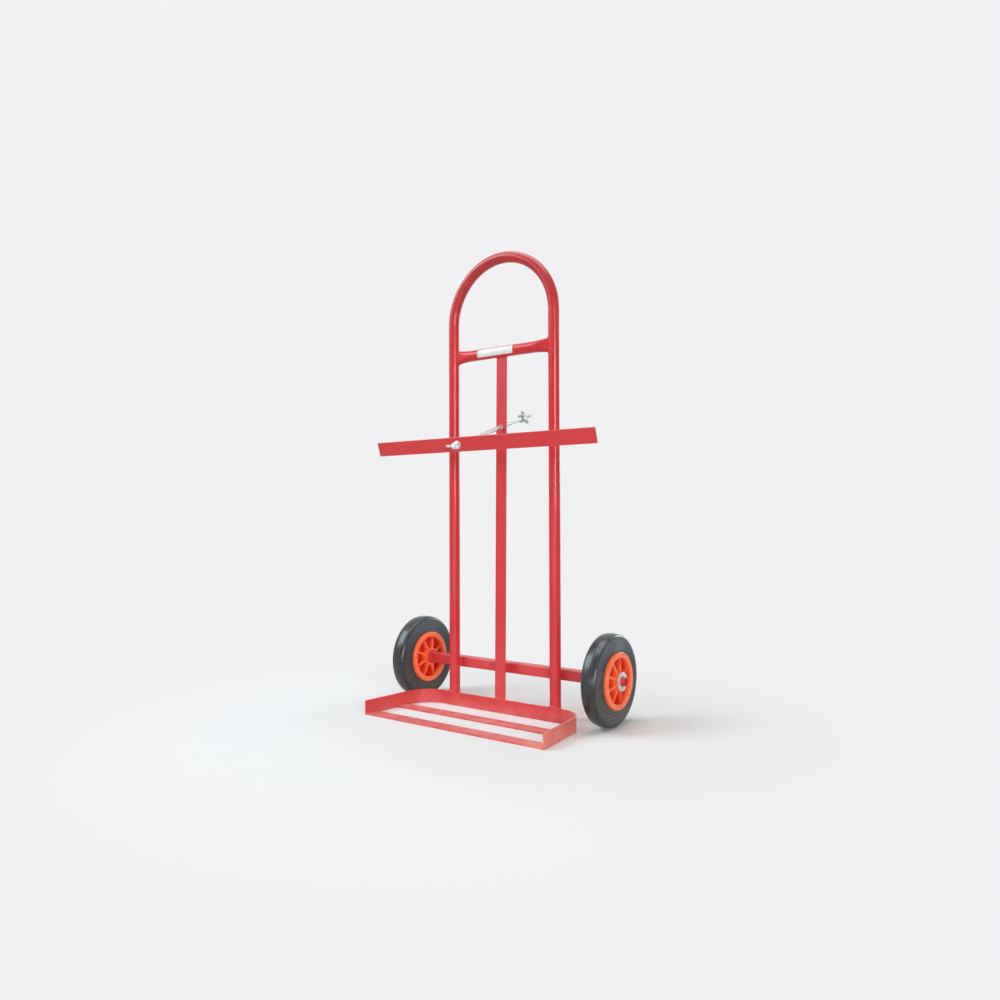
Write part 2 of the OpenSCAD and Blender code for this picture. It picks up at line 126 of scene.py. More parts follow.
class Graph:
    """Adds and wires the nodes of one shader tree."""

    # Numbers of the Mix node's two colour inputs and of its colour output.
    MIX_COLOURS = (6, 7)
    MIX_RESULT = 2

    def __init__(self, tree: bpy.types.NodeTree) -> None:
        """Keep the tree that nodes go into.

        Args:
            tree: Node tree of a material, a world or a group.
        """
        self.tree = tree

    def add(self, kind: str, **settings: Any) -> Node:
        """Add one node.

        Args:
            kind: Blender's type name of the node.
            **settings: Properties set on the node.

        Returns:
            The new node.
        """
        node = self.tree.nodes.new(kind)
        for key, value in settings.items():
            setattr(node, key, value)
        return node

    def feed(self, socket: Socket, value: Any) -> None:
        """Link an output to a socket, or set the socket's own value.

        Args:
            socket: Input that takes the value.
            value: Output socket, number, colour or vector.
        """
        if isinstance(value, Socket):
            self.tree.links.new(value, socket)
        else:
            socket.default_value = value

    def feed_all(self, node: Node, **values: Any) -> None:
        """Feed the inputs of a node by their names, with _ for a space."""
        for name, value in values.items():
            self.feed(node.inputs[name.replace("_", " ")], value)

    def math(self, operation: str, *values: Any, clamp: bool = False) -> Socket:
        """Add a Math node.

        Args:
            operation: Name of the operation.
            *values: One to three inputs.
            clamp: Whether the result stays between 0 and 1.

        Returns:
            The node's output.
        """
        node = self.add("ShaderNodeMath", operation=operation, use_clamp=clamp)
        for socket, value in zip(node.inputs, values):
            self.feed(socket, value)
        return node.outputs[0]

    def product(self, first: Any, *others: Any) -> Socket:
        """Multiply two or more values.

        Args:
            first: First factor.
            *others: The factors after it.

        Returns:
            The product.
        """
        for other in others:
            first = self.math("MULTIPLY", first, other)
        return first

    def rest(self, share: Any) -> Socket:
        """What a share leaves of 1."""
        return self.math("SUBTRACT", 1.0, share)

    def span(self, value: Any, low: float, high: float, start: float = 0.0, end: float = 1.0) -> Socket:
        """Map a range of values smoothly onto another.

        Args:
            value: Input value.
            low: Input that gives start.
            high: Input that gives end.
            start: Result at low.
            end: Result at high.

        Returns:
            The mapped value.
        """
        node = self.add("ShaderNodeMapRange", interpolation_type="SMOOTHSTEP")
        self.feed_all(node, Value=value, From_Min=low, From_Max=high, To_Min=start, To_Max=end)
        return node.outputs[0]

    def noise(self, vector: Any, scale: Any, detail: float = 2.0, roughness: float = 0.5) -> Socket:
        """Add a noise texture.

        Args:
            vector: Place that the noise is read at.
            scale: Lumps to the metre.
            detail: Octaves.
            roughness: Weight of each finer octave.

        Returns:
            Noise between 0 and 1.
        """
        node = self.add("ShaderNodeTexNoise")
        self.feed_all(node, Vector=vector, Scale=scale, Detail=detail, Roughness=roughness)
        return node.outputs["Fac"]

    def blend(self, factor: Any, first: Any, second: Any) -> Socket:
        """Mix two colours.

        Args:
            factor: Share of the second colour.
            first: Colour at factor 0.
            second: Colour at factor 1.

        Returns:
            The mixed colour.
        """
        node = self.add("ShaderNodeMix", data_type="RGBA")
        self.feed(node.inputs["Factor"], factor)
        for number, item in zip(self.MIX_COLOURS, (first, second)):
            self.feed(node.inputs[number], item if isinstance(item, Socket) else (*item, 1.0))
        return node.outputs[self.MIX_RESULT]

    def place(self) -> Socket:
        """Place on the object, in metres of the trolley's frame."""
        return self.add("ShaderNodeTexCoord").outputs["Object"]

    def normal(self) -> Socket:
        """Direction that the surface faces."""
        return self.add("ShaderNodeNewGeometry").outputs["Normal"]

    def axes(self, vector: Any) -> Any:
        """Parts of a vector, to be read by the name of an axis.

        Args:
            vector: Vector to take apart.

        Returns:
            The three parts.
        """
        node = self.add("ShaderNodeSeparateXYZ")
        self.feed(node.inputs[0], vector)
        return node.outputs

    def effect(self, effect: Effect, **values: Any) -> Socket:
        """Place a shared effect.

        Args:
            effect: The effect.
            **values: Inputs by name, with _ for a space.

        Returns:
            The effect's output.
        """
        node = self.add("ShaderNodeGroup", node_tree=bpy.data.node_groups[effect.value])
        self.feed_all(node, **values)
        return node.outputs[0]


class EffectGroup(Graph):
    """Nodes of a shared effect: a node group with number sockets and one output."""

    NUMBER = "NodeSocketFloat"

    def __init__(self, effect: Effect, output: str, *inputs: str) -> None:
        """Make the group and its sockets.

        Args:
            effect: The effect.
            output: Name of its output.
            *inputs: Names of its inputs.
        """
        super().__init__(bpy.data.node_groups.new(effect.value, "ShaderNodeTree"))
        for item in inputs:
            self.tree.interface.new_socket(item, in_out="INPUT", socket_type=self.NUMBER)
        self.tree.interface.new_socket(output, in_out="OUTPUT", socket_type=self.NUMBER)
        self.given = self.add("NodeGroupInput").outputs
        self.result = self.add("NodeGroupOutput").inputs[output]

    def put_out(self, value: Socket) -> None:
        """Put a value out of the group."""
        self.feed(self.result, value)


class Effects:
    """Builds the group of each shared effect once."""

    # Fine ripples of a grain to each broad one.
    FINE_RIPPLES = 4.3
    # How fast a rubbed patch goes from none to full.
    PATCH_EDGE = 6.0
    # Share of the dust and painted sheen that faces keep which don't look up.
    UPRIGHT_DUST = 0.45

    def build(self) -> None:
        """Build every group."""
        for fill in (self._mottle, self._grain, self._edge_wear, self._crevice, self._dust):
            fill()

    def _mottle(self) -> None:
        """Slow change of shade over a surface, around 1."""
        group = EffectGroup(Effect.MOTTLE, "Value", "Scale", "Contrast")
        cloud = group.noise(group.place(), group.given["Scale"], detail=4.0, roughness=0.6)
        swing = group.product(group.math("SUBTRACT", cloud, 0.5), group.given["Contrast"])
        group.put_out(group.math("ADD", swing, 1.0))

    def _grain(self) -> None:
        """Height of a fine skin: broad ripples with a share of finer ones."""
        group = EffectGroup(Effect.GRAIN, "Height", "Scale", "Fine Share")
        place = group.place()
        broad = group.noise(place, group.given["Scale"], detail=1.0)
        fine = group.noise(place, group.product(group.given["Scale"], self.FINE_RIPPLES), detail=2.0)
        group.put_out(group.math("ADD", broad, group.product(fine, group.given["Fine Share"])))

    def _edge_wear(self) -> None:
        """Mask of edges in patches broken up by noise: worn paint, soiled film and a painted highlight on
        plastic edges.
        """
        group = EffectGroup(Effect.EDGE_WEAR, "Mask", "Radius", "Breakup", "Amount")
        bevel = group.add("ShaderNodeBevel", samples=4)
        group.feed(bevel.inputs["Radius"], group.given["Radius"])
        dot = group.add("ShaderNodeVectorMath", operation="DOT_PRODUCT")
        group.feed(dot.inputs[0], bevel.outputs[0])
        group.feed(dot.inputs[1], group.normal())
        edge = group.span(group.rest(dot.outputs["Value"]), 0.03, 0.22)
        spots = group.noise(group.place(), group.given["Breakup"], detail=4.0, roughness=0.65)
        over = group.math("SUBTRACT", spots, group.rest(group.given["Amount"]))
        patchy = group.math("MULTIPLY", over, self.PATCH_EDGE, clamp=True)
        group.put_out(group.product(edge, patchy))

    def _crevice(self) -> None:
        """Mask of painted shade in corners and roots, from ambient occlusion."""
        group = EffectGroup(Effect.CREVICE, "Mask", "Reach", "Breakup")
        open_share = group.add("ShaderNodeAmbientOcclusion", samples=6)
        group.feed(open_share.inputs["Distance"], group.given["Reach"])
        closed = group.span(open_share.outputs["AO"], 0.80, 0.35)
        cloud = group.noise(group.place(), group.given["Breakup"], detail=3.0)
        group.put_out(group.product(closed, group.span(cloud, 0.25, 0.55, 0.55, 1.0)))

    def _dust(self) -> None:
        """Mask of dust on upward faces and near the floor; on red paint it also paints a pale sheen on
        upward faces.
        """
        group = EffectGroup(Effect.DUST, "Mask", "Scale", "Amount", "Floor Reach")
        place = group.place()
        lying = group.span(group.axes(group.normal())["Z"], 0.25, 0.95)
        height = group.math("DIVIDE", group.axes(place)["Z"], group.given["Floor Reach"])
        low = group.math("SUBTRACT", 1.0, height, clamp=True)
        speckle = group.noise(place, group.given["Scale"], detail=5.0, roughness=0.65)
        cloud = group.span(speckle, 0.32, 0.72, 0.4, 1.0)
        held = group.math("MAXIMUM", lying, self.UPRIGHT_DUST)
        group.put_out(group.product(held, low, cloud, group.given["Amount"]))


class Surface(Graph):
    """Nodes of a material, round its one Principled shader."""

    def __init__(self, name: str, **constants: Any) -> None:
        """Make the material.

        Args:
            name: Name of the material.
            **constants: Values of the shader's own inputs by name, with _ for a space.
        """
        self.material = bpy.data.materials.new(name)
        self.material.use_nodes = True
        super().__init__(self.material.node_tree)
        self.shader = next(node for node in self.tree.nodes if node.type == "BSDF_PRINCIPLED")
        self.feed_all(self.shader, **constants)

    def show(self, colour: Socket, roughness: Socket) -> None:
        """Give the shader a colour and a roughness that change over the surface."""
        self.feed_all(self.shader, Base_Color=colour, Roughness=roughness)

    def emboss(self, height: Socket, depth: float, strength: float) -> None:
        """Raise the surface by a height.

        Args:
            height: Output that gives the height.
            depth: Metres of relief between heights 0 and 1.
            strength: Share of the relief that shows.
        """
        bump = self.add("ShaderNodeBump")
        self.feed_all(bump, Strength=strength, Distance=depth, Height=height)
        self.feed(self.shader.inputs["Normal"], bump.outputs[0])


@dataclass(frozen=True)
class EndWear:
    """Patchy tint of paint towards one end of the trolley: painted shade on the hoop's arch, dust and
    painted sheen on the tray's right end.
    """

    axis: str
    start: float
    end: float
    share: float
    tint: Colour
    patches: float = 24.0

    def tinted(self, skin: Surface, colour: Socket) -> Socket:
        """Tint a paint.

        Args:
            skin: Nodes of the paint.
            colour: Colour of the paint.

        Returns:
            The colour with its patches.
        """
        place = skin.place()
        near = skin.span(skin.axes(place)[self.axis], self.start, self.end, 0.0, self.share)
        cloud = skin.noise(place, self.patches, detail=5.0, roughness=0.62)
        patchy = skin.span(cloud, 0.30, 0.66, 0.45, 1.0)
        return skin.blend(skin.product(near, patchy), colour, self.tint)


@dataclass(frozen=True)
class RedPaint:
    """Gloss enamel over steel, thin on sharp edges, faintly dusty near the floor, with a painted pale sheen
    on upward faces.
    """

    name: str = "red_enamel"
    worn_edges: bool = True
    end_wear: EndWear | None = None
    colour: Colour = (0.61, 0.020, 0.025)
    deep: Colour = (0.54, 0.014, 0.019)
    thin: Colour = (0.72, 0.070, 0.066)
    steel: Colour = (0.20, 0.19, 0.18)
    dust: Colour = (0.80, 0.36, 0.32)
    thin_share: float = 0.45
    steel_share: float = 0.8
    dust_amount: float = 0.30
    dust_reach: float = 0.25
    roughness: Pair = (0.40, 0.32)
    gloss: float = 0.5
    coat: float = 0.25
    coat_roughness: float = 0.10

    def _worn(self, skin: Surface, colour: Socket) -> Socket:
        """Thin the paint on edges and chip it here and there.

        Args:
            skin: Nodes of the paint.
            colour: Colour of whole paint.

        Returns:
            The colour with its wear.
        """
        edge_mask = skin.effect(Effect.EDGE_WEAR, Radius=1.4 * MM, Breakup=90.0, Amount=0.60)
        chips = skin.effect(Effect.EDGE_WEAR, Radius=0.8 * MM, Breakup=240.0, Amount=0.33)
        paler = skin.blend(skin.product(edge_mask, self.thin_share), colour, self.thin)
        return skin.blend(skin.product(chips, self.steel_share), paler, self.steel)

    def material(self) -> Material:
        """Build the finish.

        Returns:
            The material.
        """
        skin = Surface(self.name, Specular_IOR_Level=self.gloss)
        skin.feed_all(skin.shader, Coat_Weight=self.coat, Coat_Roughness=self.coat_roughness)
        mottle = skin.effect(Effect.MOTTLE, Scale=9.0, Contrast=0.6)
        colour = skin.blend(skin.span(mottle, 0.82, 1.12), self.deep, self.colour)
        if self.worn_edges:
            colour = self._worn(skin, colour)
        if self.end_wear:
            colour = self.end_wear.tinted(skin, colour)
        # Dust near the floor, whose pale salmon also paints a sheen on upward faces, strongest on the tray.
        dust_and_sheen_spread = {"Amount": self.dust_amount, "Floor_Reach": self.dust_reach}
        dust = skin.effect(Effect.DUST, Scale=34.0, **dust_and_sheen_spread)
        clean = skin.span(mottle, *MOTTLE_SPAN, *self.roughness)
        skin.show(skin.blend(dust, colour, self.dust), skin.math("ADD", clean, dust))
        peel = skin.effect(Effect.GRAIN, Scale=420.0, Fine_Share=0.35)
        skin.emboss(peel, depth=0.06 * MM, strength=0.2)
        return skin.material


@dataclass(frozen=True)
class ZincPlate:
    """Zinc plating with clouded passivation, painted shade in its corners and a fine satin grain."""

    name: str = "zinc_plate"
    colour: Colour = (0.72, 0.77, 0.78)
    cloud: Colour = (0.63, 0.68, 0.69)
    warm: Colour = (0.65, 0.65, 0.59)
    grime: Colour = (0.30, 0.32, 0.32)
    warm_share: float = 0.45
    roughness: Pair = (0.38, 0.26)
    metal: float = 0.55

    def material(self) -> Material:
        """Build the finish.

        Returns:
            The material.
        """
        skin = Surface(self.name, Metallic=self.metal)
        cloud = skin.effect(Effect.MOTTLE, Scale=160.0, Contrast=0.6)
        tint = skin.effect(Effect.MOTTLE, Scale=55.0, Contrast=1.0)
        colour = skin.blend(skin.span(cloud, 0.8, 1.2), self.cloud, self.colour)
        colour = skin.blend(skin.span(tint, 1.05, 1.5, 0.0, self.warm_share), colour, self.warm)
        # Painted shade: the zinc darkens where ambient occlusion finds corners and roots.
        grime = skin.effect(Effect.CREVICE, Reach=2.5 * MM, Breakup=300.0)
        roughness = skin.span(cloud, *MOTTLE_SPAN, *self.roughness)
        skin.show(skin.blend(grime, colour, self.grime), roughness)
        grain = skin.effect(Effect.GRAIN, Scale=1800.0, Fine_Share=0.6)
        skin.emboss(grain, depth=0.05 * MM, strength=0.12)
        return skin.material


@dataclass(frozen=True)
class TyreRubber:
    """Moulded solid rubber: polished tread, painted sky sheen high and dust with painted ground reflection
    low, both between the rings, painted shade in the grooves.
    """

    colour: Colour = (0.007, 0.010, 0.013)
    faded: Colour = (0.017, 0.023, 0.029)
    bloom: Colour = (0.088, 0.113, 0.134)
    dust: Colour = (0.18, 0.14, 0.076)
    dust_share: float = 0.60
    mottle_span: Pair = (0.7, 1.3)
    roughness: Pair = (0.24, 0.30)
    gloss: float = 0.48
    polish: float = 0.32
    polish_roughness: float = 0.24
    axle_y: float = 0.149
    axle_z: float = 0.125
    tread: Pair = (0.110, 0.120)
    ring_start: float = 77.0 * MM
    ring_pitch: float = 7.4 * MM
    line_pitch: float = 1.1 * MM
    line_height: float = 0.5

    def _from_axle(self, skin: Surface) -> tuple[Socket, Socket]:
        """Measure from the axle.

        Args:
            skin: Nodes of the rubber.

        Returns:
            Height above the axle and distance from it.
        """
        axes = skin.axes(skin.place())
        across = skin.math("SUBTRACT", axes["Y"], self.axle_y)
        rise = skin.math("SUBTRACT", axes["Z"], self.axle_z)
        square = skin.math("ADD", skin.product(across, across), skin.product(rise, rise))
        return rise, skin.math("SQRT", square)

    def _settled(self, skin: Surface, rise: Socket, radius: Socket, tread: Socket) -> list[Socket]:
        """Paint a bluish sky sheen on the upper and dust with a ground reflection on the lower sidewall,
        both between the rings.

        Args:
            skin: Nodes of the rubber.
            rise: Height above the axle.
            radius: Distance from the axle.
            tread: Mask of the tread, which holds less of both.

        Returns:
            Masks of the painted sky sheen and of the dust with painted ground reflection.
        """
        past = skin.math("SUBTRACT", radius, self.ring_start)
        wave = skin.math("COSINE", skin.product(past, 2.0 * math.pi / self.ring_pitch))
        between = skin.span(wave, 0.9, -0.6, 0.30, 1.0)
        # Painted sky sheen: the upper sidewall paler and bluer.
        high = skin.span(rise, 0.02, 0.11, 0.35, 1.0)
        bloom = skin.product(high, between, skin.rest(skin.product(tread, 0.95)))
        # Dust with a painted ground reflection: the lower sidewall browner.
        low = skin.span(rise, 0.03, -0.10, 0.10, 1.0)
        cloud = skin.span(skin.noise(skin.place(), 70.0, detail=6.0, roughness=0.7), 0.30, 0.66)
        loose = skin.rest(skin.product(tread, 0.6))
        return [bloom, skin.product(loose, low, cloud, between, self.dust_share)]

    def material(self) -> Material:
        """Build the finish.

        Returns:
            The material.
        """
        skin = Surface("tyre_rubber", Specular_IOR_Level=self.gloss, Coat_Roughness=self.polish_roughness)
        rise, radius = self._from_axle(skin)
        tread = skin.span(radius, *self.tread)
        bloom, dust = self._settled(skin, rise, radius, tread)
        # Painted shade in the grooves, from ambient occlusion.
        groove_shade = skin.effect(Effect.CREVICE, Reach=2.5 * MM, Breakup=120.0)
        skin.feed_all(skin.shader, Coat_Weight=skin.product(tread, self.polish, skin.rest(groove_shade)))
        mottle = skin.effect(Effect.MOTTLE, Scale=38.0, Contrast=1.3)
        colour = skin.blend(skin.span(mottle, *self.mottle_span), self.colour, self.faded)
        # Painted sky sheen, dust with painted ground reflection and painted groove shade, in turn.
        for mask, tint in ((bloom, self.bloom), (dust, self.dust), (groove_shade, self.colour)):
            colour = skin.blend(mask, colour, tint)
        clean = skin.span(mottle, *self.mottle_span, *self.roughness)
        matt = skin.product(skin.math("ADD", dust, groove_shade), 0.5)
        skin.show(colour, skin.math("ADD", clean, matt, clamp=True))
        grain = skin.effect(Effect.GRAIN, Scale=900.0, Fine_Share=0.5)
        lines = skin.math("SINE", skin.product(radius, 2.0 * math.pi / self.line_pitch))
        relief = skin.math("ADD", grain, skin.product(lines, self.line_height))
        skin.emboss(relief, depth=0.05 * MM, strength=0.15)
        return skin.material


@dataclass(frozen=True)
class OrangePlastic:
    """Moulded polypropylene: satin orange with flow clouds, painted shade deep in the recesses and a
    painted highlight on its edges.
    """

    colour: Colour = (0.98, 0.190, 0.064)
    deep: Colour = (0.93, 0.140, 0.042)
    recess: Colour = (0.76, 0.022, 0.013)
    # Colour of the painted highlight on the edges.
    edge: Colour = (1.0, 0.25, 0.11)
    edge_share: float = 0.6
    roughness: Pair = (0.42, 0.33)
    wheel_x: float = 0.332
    web: float = 9.0 * MM
    face: float = 28.0 * MM

    def material(self) -> Material:
        """Build the finish.

        Returns:
            The material.
        """
        skin = Surface("orange_plastic")
        mottle = skin.effect(Effect.MOTTLE, Scale=46.0, Contrast=1.0)
        colour = skin.blend(skin.span(mottle, 0.75, 1.2), self.deep, self.colour)
        side = skin.math("ABSOLUTE", skin.axes(skin.place())["X"])
        off = skin.math("ABSOLUTE", skin.math("SUBTRACT", side, self.wheel_x))
        # Painted shade: deeper red towards the web, inside the recess.
        colour = skin.blend(skin.span(off, self.web, self.face), self.recess, colour)
        # Painted highlight: paler orange on the edges.
        edge_mask = skin.effect(Effect.EDGE_WEAR, Radius=2.2 * MM, Breakup=60.0, Amount=0.85)
        paler = skin.blend(skin.product(edge_mask, self.edge_share), colour, self.edge)
        skin.show(paler, skin.span(mottle, *MOTTLE_SPAN, *self.roughness))
        grain = skin.effect(Effect.GRAIN, Scale=1300.0, Fine_Share=0.4)
        skin.emboss(grain, depth=0.06 * MM, strength=0.35)
        return skin.material


@dataclass(frozen=True)
class PaleFilm:
    """Off-white nylon or label film with a faint cloud, soiled edges and a fine tooth."""

    name: str
    colour: Colour
    shade: Colour
    roughness: Pair
    tooth: float
    soil_share: float = 0.35

    def material(self) -> Material:
        """Build the finish.

        Returns:
            The material.
        """
        skin = Surface(self.name)
        mottle = skin.effect(Effect.MOTTLE, Scale=70.0, Contrast=1.1)
        soil = skin.effect(Effect.EDGE_WEAR, Radius=1.2 * MM, Breakup=150.0, Amount=0.6)
        colour = skin.blend(skin.span(mottle, *MOTTLE_SPAN), self.shade, self.colour)
        soiled = skin.blend(skin.product(soil, self.soil_share), colour, self.shade)
        skin.show(soiled, skin.span(mottle, *MOTTLE_SPAN, *self.roughness))
        grain = skin.effect(Effect.GRAIN, Scale=self.tooth, Fine_Share=0.5)
        skin.emboss(grain, depth=0.05 * MM, strength=0.3)
        return skin.material


class Finishes:
    """The trolley's materials by slot, and those of single pieces."""

    def __init__(self) -> None:
        """Build each finish once."""
        nylon = PaleFilm("nylon", (0.78, 0.76, 0.70), (0.62, 0.59, 0.52), (0.53, 0.37), 1200.0)
        label = PaleFilm("label_film", (0.80, 0.82, 0.80), (0.69, 0.71, 0.69), (0.48, 0.32), 1500.0)
        # A darker copy of the zinc paints shade on the rear hardware; its last colour is its painted corner
        # shade.
        tints = (0.46, 0.52, 0.54), (0.34, 0.39, 0.41), (0.42, 0.42, 0.36), (0.06, 0.06, 0.06)
        dull = ZincPlate("dull_zinc", *tints)
        # Paler orange towards the tray's right end: dust with a painted sheen.
        paler = EndWear("X", 0.20, 0.315, 0.55, (0.86, 0.34, 0.22))
        # The tray's strong dust on its upward faces is partly a painted sheen.
        tray = RedPaint("red_enamel_tray", end_wear=paler, dust_amount=0.62, dust_reach=0.05)
        # Painted shade: the arch darker towards its top.
        arch_shade = EndWear("Z", 1.10, 1.26, 0.70, (0.33, 0.024, 0.022))
        hoop = RedPaint("red_enamel_hoop", worn_edges=False, gloss=0.28, end_wear=arch_shade)
        tube = RedPaint("red_enamel_tube", worn_edges=False, gloss=0.28)
        self.by_slot: dict[Slot, Material] = {
            Slot.RED_PAINT: RedPaint().material(),
            Slot.ZINC: ZincPlate().material(),
            Slot.TYRE_RUBBER: TyreRubber().material(),
            Slot.ORANGE_PLASTIC: OrangePlastic().material(),
            Slot.NYLON: nylon.material(),
        }
        self.label = label.material()
        self.dull_zinc = dull.material()
        self.tube_paint = tube.material()
        self.tray_paint = tray.material()
        self.hoop_paint = hoop.material()

    @staticmethod
    def cover(name: str, material: Material) -> None:
        """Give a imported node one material.

        Args:
            name: Name of the node.
            material: Its finish.
        """
        materials = bpy.data.objects[name].data.materials
        materials.clear()
        materials.append(material)

    def dress(self, name: str, slot: Slot) -> None:
        """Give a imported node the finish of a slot."""
        self.cover(name, self.by_slot[slot])


def join_edges(name: str) -> Object:
    """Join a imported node's faces along their edges.

    Args:
        name: Name of the node.

    Returns:
        The node's object.
    """
    obj = bpy.data.objects[name]
    obj.modifiers.new("join_edges", "WELD").merge_threshold = SAME_POINT
    return obj


def even_shading(obj: Object) -> None:
    """Shade a node by the size of its faces.

    Args:
        obj: Object of the node.
    """
    normals = obj.modifiers.new("even_shading", "WEIGHTED_NORMAL")
    normals.keep_sharp = False
    normals.weight = FACE_WEIGHT


def smooth(name: str) -> None:
    """Shade a round node smoothly up to its sharp edges.

    Args:
        name: Name of the node.
    """
    obj = join_edges(name)
    obj.modifiers.new("sharp_edges", "EDGE_SPLIT").split_angle = SHARP
    even_shading(obj)


def soften(name: str, width: float) -> None:
    """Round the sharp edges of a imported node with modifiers.

    Args:
        name: Name of the node.
        width: Width of the rounding.
    """
    obj = join_edges(name)
    bevel = obj.modifiers.new("soft_edges", "BEVEL")
    bevel.width = width
    bevel.segments = ROUND_FACES
    bevel.limit_method = "ANGLE"
    bevel.angle_limit = SHARP
    bevel.use_clamp_overlap = False
    bevel.harden_normals = False
    even_shading(obj)


def make_piece(
    name: str,
    points: Sequence[Vector],
    faces: Sequence[Sequence[int]],
    body: Body,
    material: Material,
) -> Object:
    """Make a smooth mesh piece that rides on a body.

    Args:
        name: Name of the piece.
        points: Corners in the trolley's frame.
        faces: Corner numbers of each face.
        body: Body that carries the piece.
        material: Finish of the piece.

    Returns:
        The new object.
    """
    mesh = bpy.data.meshes.new(name)
    mesh.from_pydata([tuple(point) for point in points], [], [tuple(face) for face in faces])
    form = bmesh.new()
    form.from_mesh(mesh)
    bmesh.ops.recalc_face_normals(form, faces=form.faces)
    form.to_mesh(mesh)
    form.free()
    mesh.shade_smooth()
    mesh.materials.append(material)
    obj = bpy.data.objects.new(name, mesh)
    bpy.context.scene.collection.objects.link(obj)
    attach(obj, body.value)
    LOG.info("piece %s: %d points, %d faces", name, len(points), len(faces))
    return obj


def ring_faces(rings: int, sides: int, closed: bool) -> list[tuple[int, ...]]:
    """Faces of a skin over rings of points.

    Args:
        rings: Number of rings.
        sides: Points in each ring.
        closed: Whether the last ring joins the first. An open skin gets an end face on each end.

    Returns:
        Corner numbers of each face.
    """
    faces: list[tuple[int, ...]] = []
    for ring in range(rings if closed else rings - 1):
        low, high = ring * sides, (ring + 1) % rings * sides
        for i in range(sides):
            j = (i + 1) % sides
            faces.append((low + i, low + j, high + j, high + i))
    if not closed:
        faces.append(tuple(range(sides)))
        faces.append(tuple(range((rings - 1) * sides, rings * sides)))
    return faces


@dataclass
class WeldBead:
    """A rippled weld bead laid along a path."""

    name: str
    path: list[Vector]
    radius: float
    closed: bool = False
    ripple: float = 4.2 * MM
    steps: int = 5
    sides: int = 12
    lumps: Pair = (0.78, 1.18)
    valley: float = 0.74
    tip: float = 0.45
    taper: int = 4

    def _stations(self) -> list[Vector]:
        """Points along the path, evenly spaced for the ripples.

        Returns:
            The points, without a repeat of the first on a closed path.
        """
        corners = self.path + self.path[:1] if self.closed else self.path
        step = self.ripple / self.steps
        points = [corners[0]]
        spare = 0.0
        for start, end in zip(corners, corners[1:]):
            length = (end - start).length
            along = step - spare
            while along < length:
                points.append(start.lerp(end, along / length))
                along += step
            spare = length - (along - step)
        return points

    def _swell(self, i: int, count: int, lumps: Sequence[float]) -> float:
        """Thickness of the bead at a station, as a share of its radius.

        Args:
            i: Number of the station.
            count: Number of stations.
            lumps: Thickness at the start of each ripple.

        Returns:
            The share.
        """
        ripple, step = divmod(i, self.steps)
        share = step / self.steps
        lump = lumps[ripple] * (1.0 - share) + lumps[ripple + 1] * share
        crest = abs(math.sin(math.pi * i / self.steps))
        swell = (self.valley + (1.0 - self.valley) * crest) * lump
        if not self.closed:
            swell *= min(1.0, self.tip + (1.0 - self.tip) * min(i, count - 1 - i) / self.taper)
        return swell

    def build(self, paint: Material) -> None:
        """Make the bead on the frame.

        Args:
            paint: Finish of the bead.
        """
        dice = random.Random(self.name)
        stations = self._stations()
        count = len(stations)
        lumps = [dice.uniform(*self.lumps) for _ in range(count // self.steps + 2)]
        points: list[Vector] = []
        # Any direction that no path runs along. It is turned square to the path at each station.
        side = Vector((0.31, 0.47, 0.83))
        for i, centre in enumerate(stations):
            before = stations[i - 1] if i or self.closed else centre
            after = stations[(i + 1) % count] if i < count - 1 or self.closed else centre
            along = (after - before).normalized()
            side = (side - along * side.dot(along)).normalized()
            up = along.cross(side)
            radius = self.radius * self._swell(i, count, lumps)
            for k in range(self.sides):
                turn = 2.0 * math.pi * k / self.sides
                points.append(centre + radius * (math.cos(turn) * side + math.sin(turn) * up))
        faces = ring_faces(count, self.sides, self.closed)
        make_piece(self.name, points, faces, Body.FRAME, paint)


